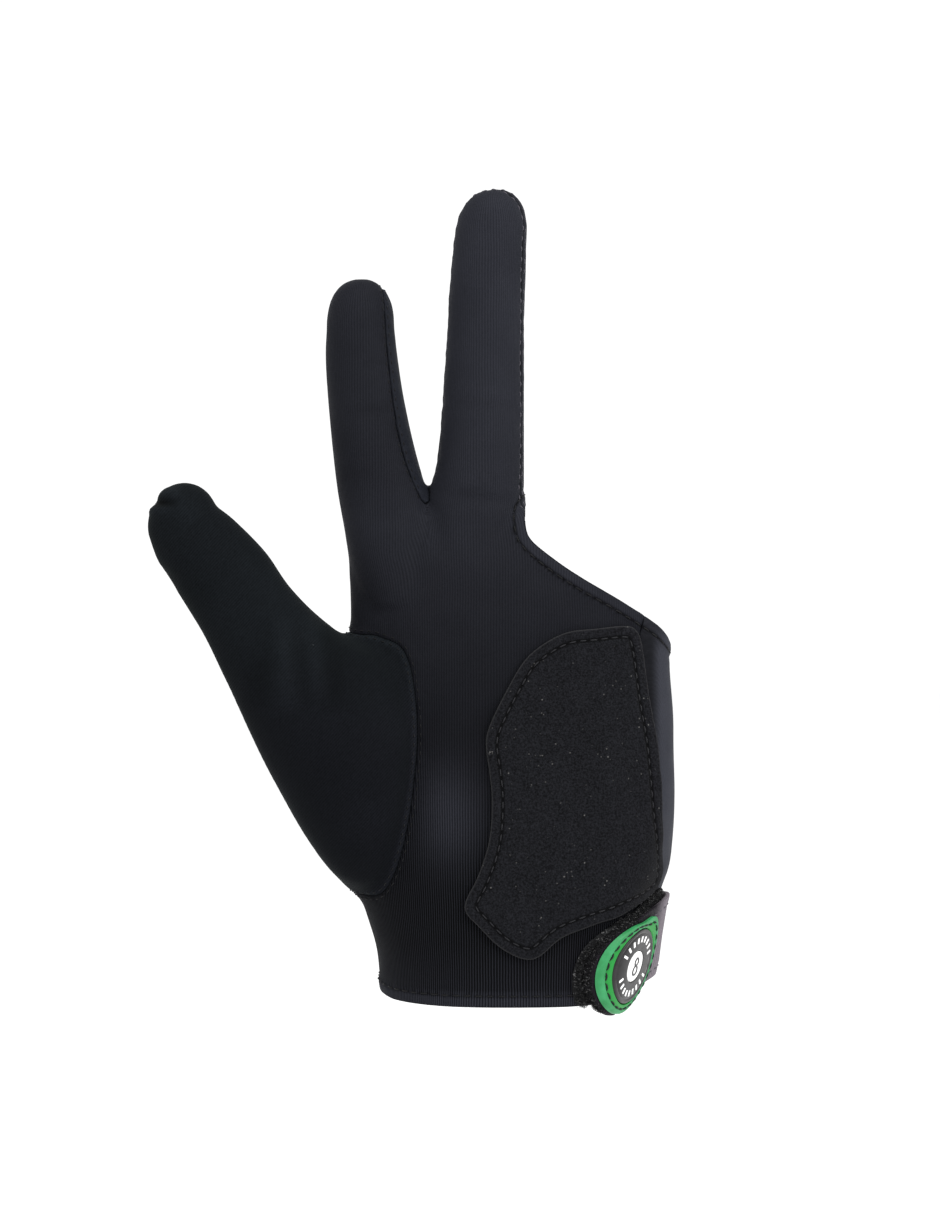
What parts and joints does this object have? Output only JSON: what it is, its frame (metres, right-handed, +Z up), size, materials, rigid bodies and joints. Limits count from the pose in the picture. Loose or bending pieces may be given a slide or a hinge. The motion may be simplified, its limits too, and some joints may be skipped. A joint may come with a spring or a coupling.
{
  "type": "three-finger billiard glove",
  "caption": "Left-hand billiard glove for thumb, index and middle finger, with a slanted side opening, suede palm pad and wrist strap.",
  "frame": {"origin": "middle of the wrist opening, where the wrist goes in", "axes": "+Z up along the fingers, -Y out of the palm, +X towards the little-finger side"},
  "size_m": [0.1346, 0.0447, 0.2105],
  "materials": {
    "ribbed_knit": "fine ribbed stretch knit, bluish black, slight satin sheen",
    "smooth_knit": "smooth stretch knit, black",
    "thumb_knit": "matte diagonal knit, slightly greenish black",
    "gusset_knit": "stretch knit, black",
    "suede": "matte suede with pale specks, cut edge",
    "loop_pile": "fuzzy loop pile, black",
    "elastic": "woven elastic band, purplish black",
    "green_rubber": "soft moulded rubber, bright green",
    "black_rubber": "glossy moulded rubber, black",
    "white_rubber": "smooth moulded rubber, white"
  },
  "bodies": {
    "root": {"palm_panel": "ribbed_knit", "back_panel": "smooth_knit", "thumb": "thumb_knit", "finger_gusset": "gusset_knit", "palm_pad": "suede", "loop_patch": "loop_pile", "wrist_strap": "elastic", "tab_patch": "green_rubber", "badge_disc": "black_rubber", "number_spot": "white_rubber"}
  },
  "joints": []
}
